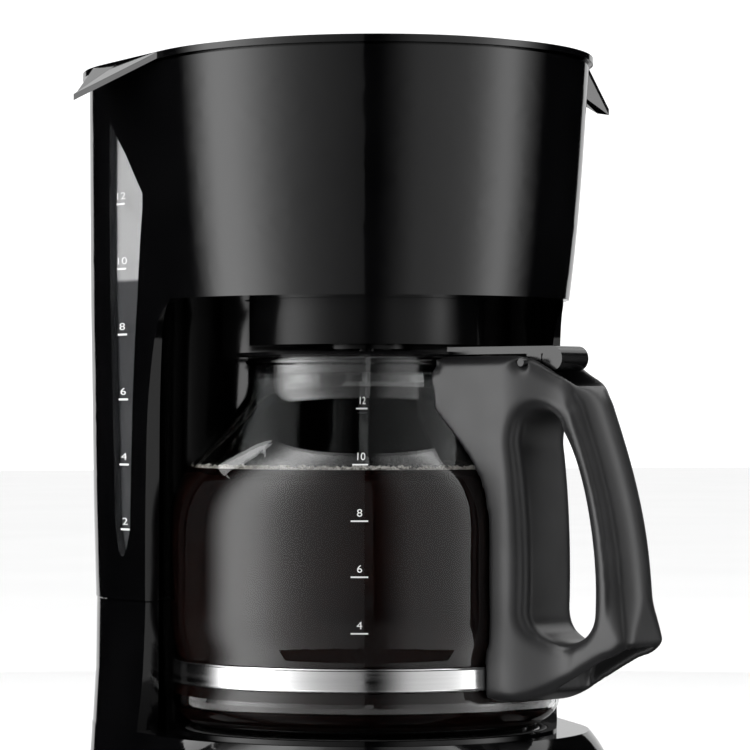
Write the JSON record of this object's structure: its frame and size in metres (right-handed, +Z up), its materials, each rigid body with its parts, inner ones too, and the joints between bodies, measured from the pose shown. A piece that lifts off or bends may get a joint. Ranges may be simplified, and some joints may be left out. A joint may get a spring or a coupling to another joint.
{
  "type": "drip coffee maker",
  "caption": "Drip coffee maker: drum-fronted gloss housing with a water window, hinged lid with side ears, lift-out basket with drip stop, warming plate and glass carafe.",
  "frame": {"origin": "middle of the whole object's footprint, on the surface it stands on", "axes": "+Z up; the machine's front, with the carafe and the switch, faces -Y; +X is to the right as seen from the front"},
  "size_m": [0.223, 0.2598, 0.3236],
  "materials": {
    "housing_black": "polished black moulding, high gloss",
    "inner_black": "moulded black plastic, fine grain",
    "window_smoke": "smoked clear plastic",
    "tank_smoke": "smoked translucent plastic, frosted",
    "plate_enamel": "black non-stick coating on pressed metal",
    "rubber_black": "soft black rubber",
    "silicone_clear": "milky silicone",
    "seal_silicone": "dark grey silicone",
    "screw_steel": "zinc plated steel",
    "element_aluminium": "extruded aluminium",
    "element_steel": "heat-tinted steel sheath",
    "ceramic_white": "off-white ceramic and thermoset",
    "switch_black": "black rocker, satin gloss",
    "carafe_glass": "clear borosilicate glass",
    "band_steel": "polished stainless strip",
    "handle_grey": "dark grey moulding, satin",
    "coffee": "black coffee",
    "foam": "thin bubbly foam",
    "water": "still water",
    "print_white": "white printed marks"
  },
  "bodies": {
    "housing": {"base_housing": "housing_black", "main_housing": "housing_black", "water_window": "window_smoke", "water_tank": "tank_smoke", "basket_well": "inner_black", "bottom_cover": "inner_black", "rubber_feet": "rubber_black", "bottom_screws": "screw_steel", "switch_bezel": "switch_black", "cord_bush": "rubber_black", "warming_plate": "plate_enamel", "plate_seal": "seal_silicone", "heating_element": "element_steel", "water_heater_tube": "element_aluminium", "element_clip": "screw_steel", "thermostat": "ceramic_white", "thermal_fuses": "ceramic_white", "one_way_valve": "inner_black", "inlet_hose": "silicone_clear", "riser_tube": "silicone_clear", "terminal_block": "ceramic_white", "lid_pins": "screw_steel"},
    "lid": {"lid": "housing_black", "shower_head": "inner_black"},
    "basket": {"brew_basket": "inner_black", "valve_cage": "inner_black", "valve_spring": "screw_steel"},
    "drip_valve": {"valve_plunger": "inner_black", "valve_seal": "seal_silicone"},
    "rocker": {"power_switch": "switch_black"},
    "carafe": {"carafe_glass": "carafe_glass", "carafe_band": "band_steel", "carafe_handle": "handle_grey", "handle_screw": "screw_steel", "carafe_lid": "inner_black", "carafe_lid_pin": "screw_steel"}
  },
  "joints": [
    {"name": "lid_hinge", "type": "hinge", "parent": "housing", "child": "lid", "pos_m": [0, 0.12313, 0.3186], "axis": [-1, 0, 0], "range_deg": [0, 100]},
    {"name": "basket_lift", "type": "slide", "parent": "housing", "child": "basket", "axis": [0, 0, 1], "range_m": [0, 0.105]},
    {"name": "valve_lift", "type": "slide", "parent": "basket", "child": "drip_valve", "axis": [0, 0, 1], "range_m": [0, 0.004], "stiffness_N_per_m": 300, "deforming": ["valve_spring"]},
    {"name": "rocker_tilt", "type": "hinge", "parent": "housing", "child": "rocker", "pos_m": [0, -0.10457, 0.027], "axis": [1, 0, 0], "range_deg": [0, 14]},
    {"name": "carafe_slide", "type": "slide", "parent": "housing", "child": "carafe", "axis": [0, -1, 0], "range_m": [0, 0.25]}
  ],
  "couplings": [
    {"joint": "basket_lift", "follows": "lid_hinge", "m_per_rad": 0.06}
  ]
}
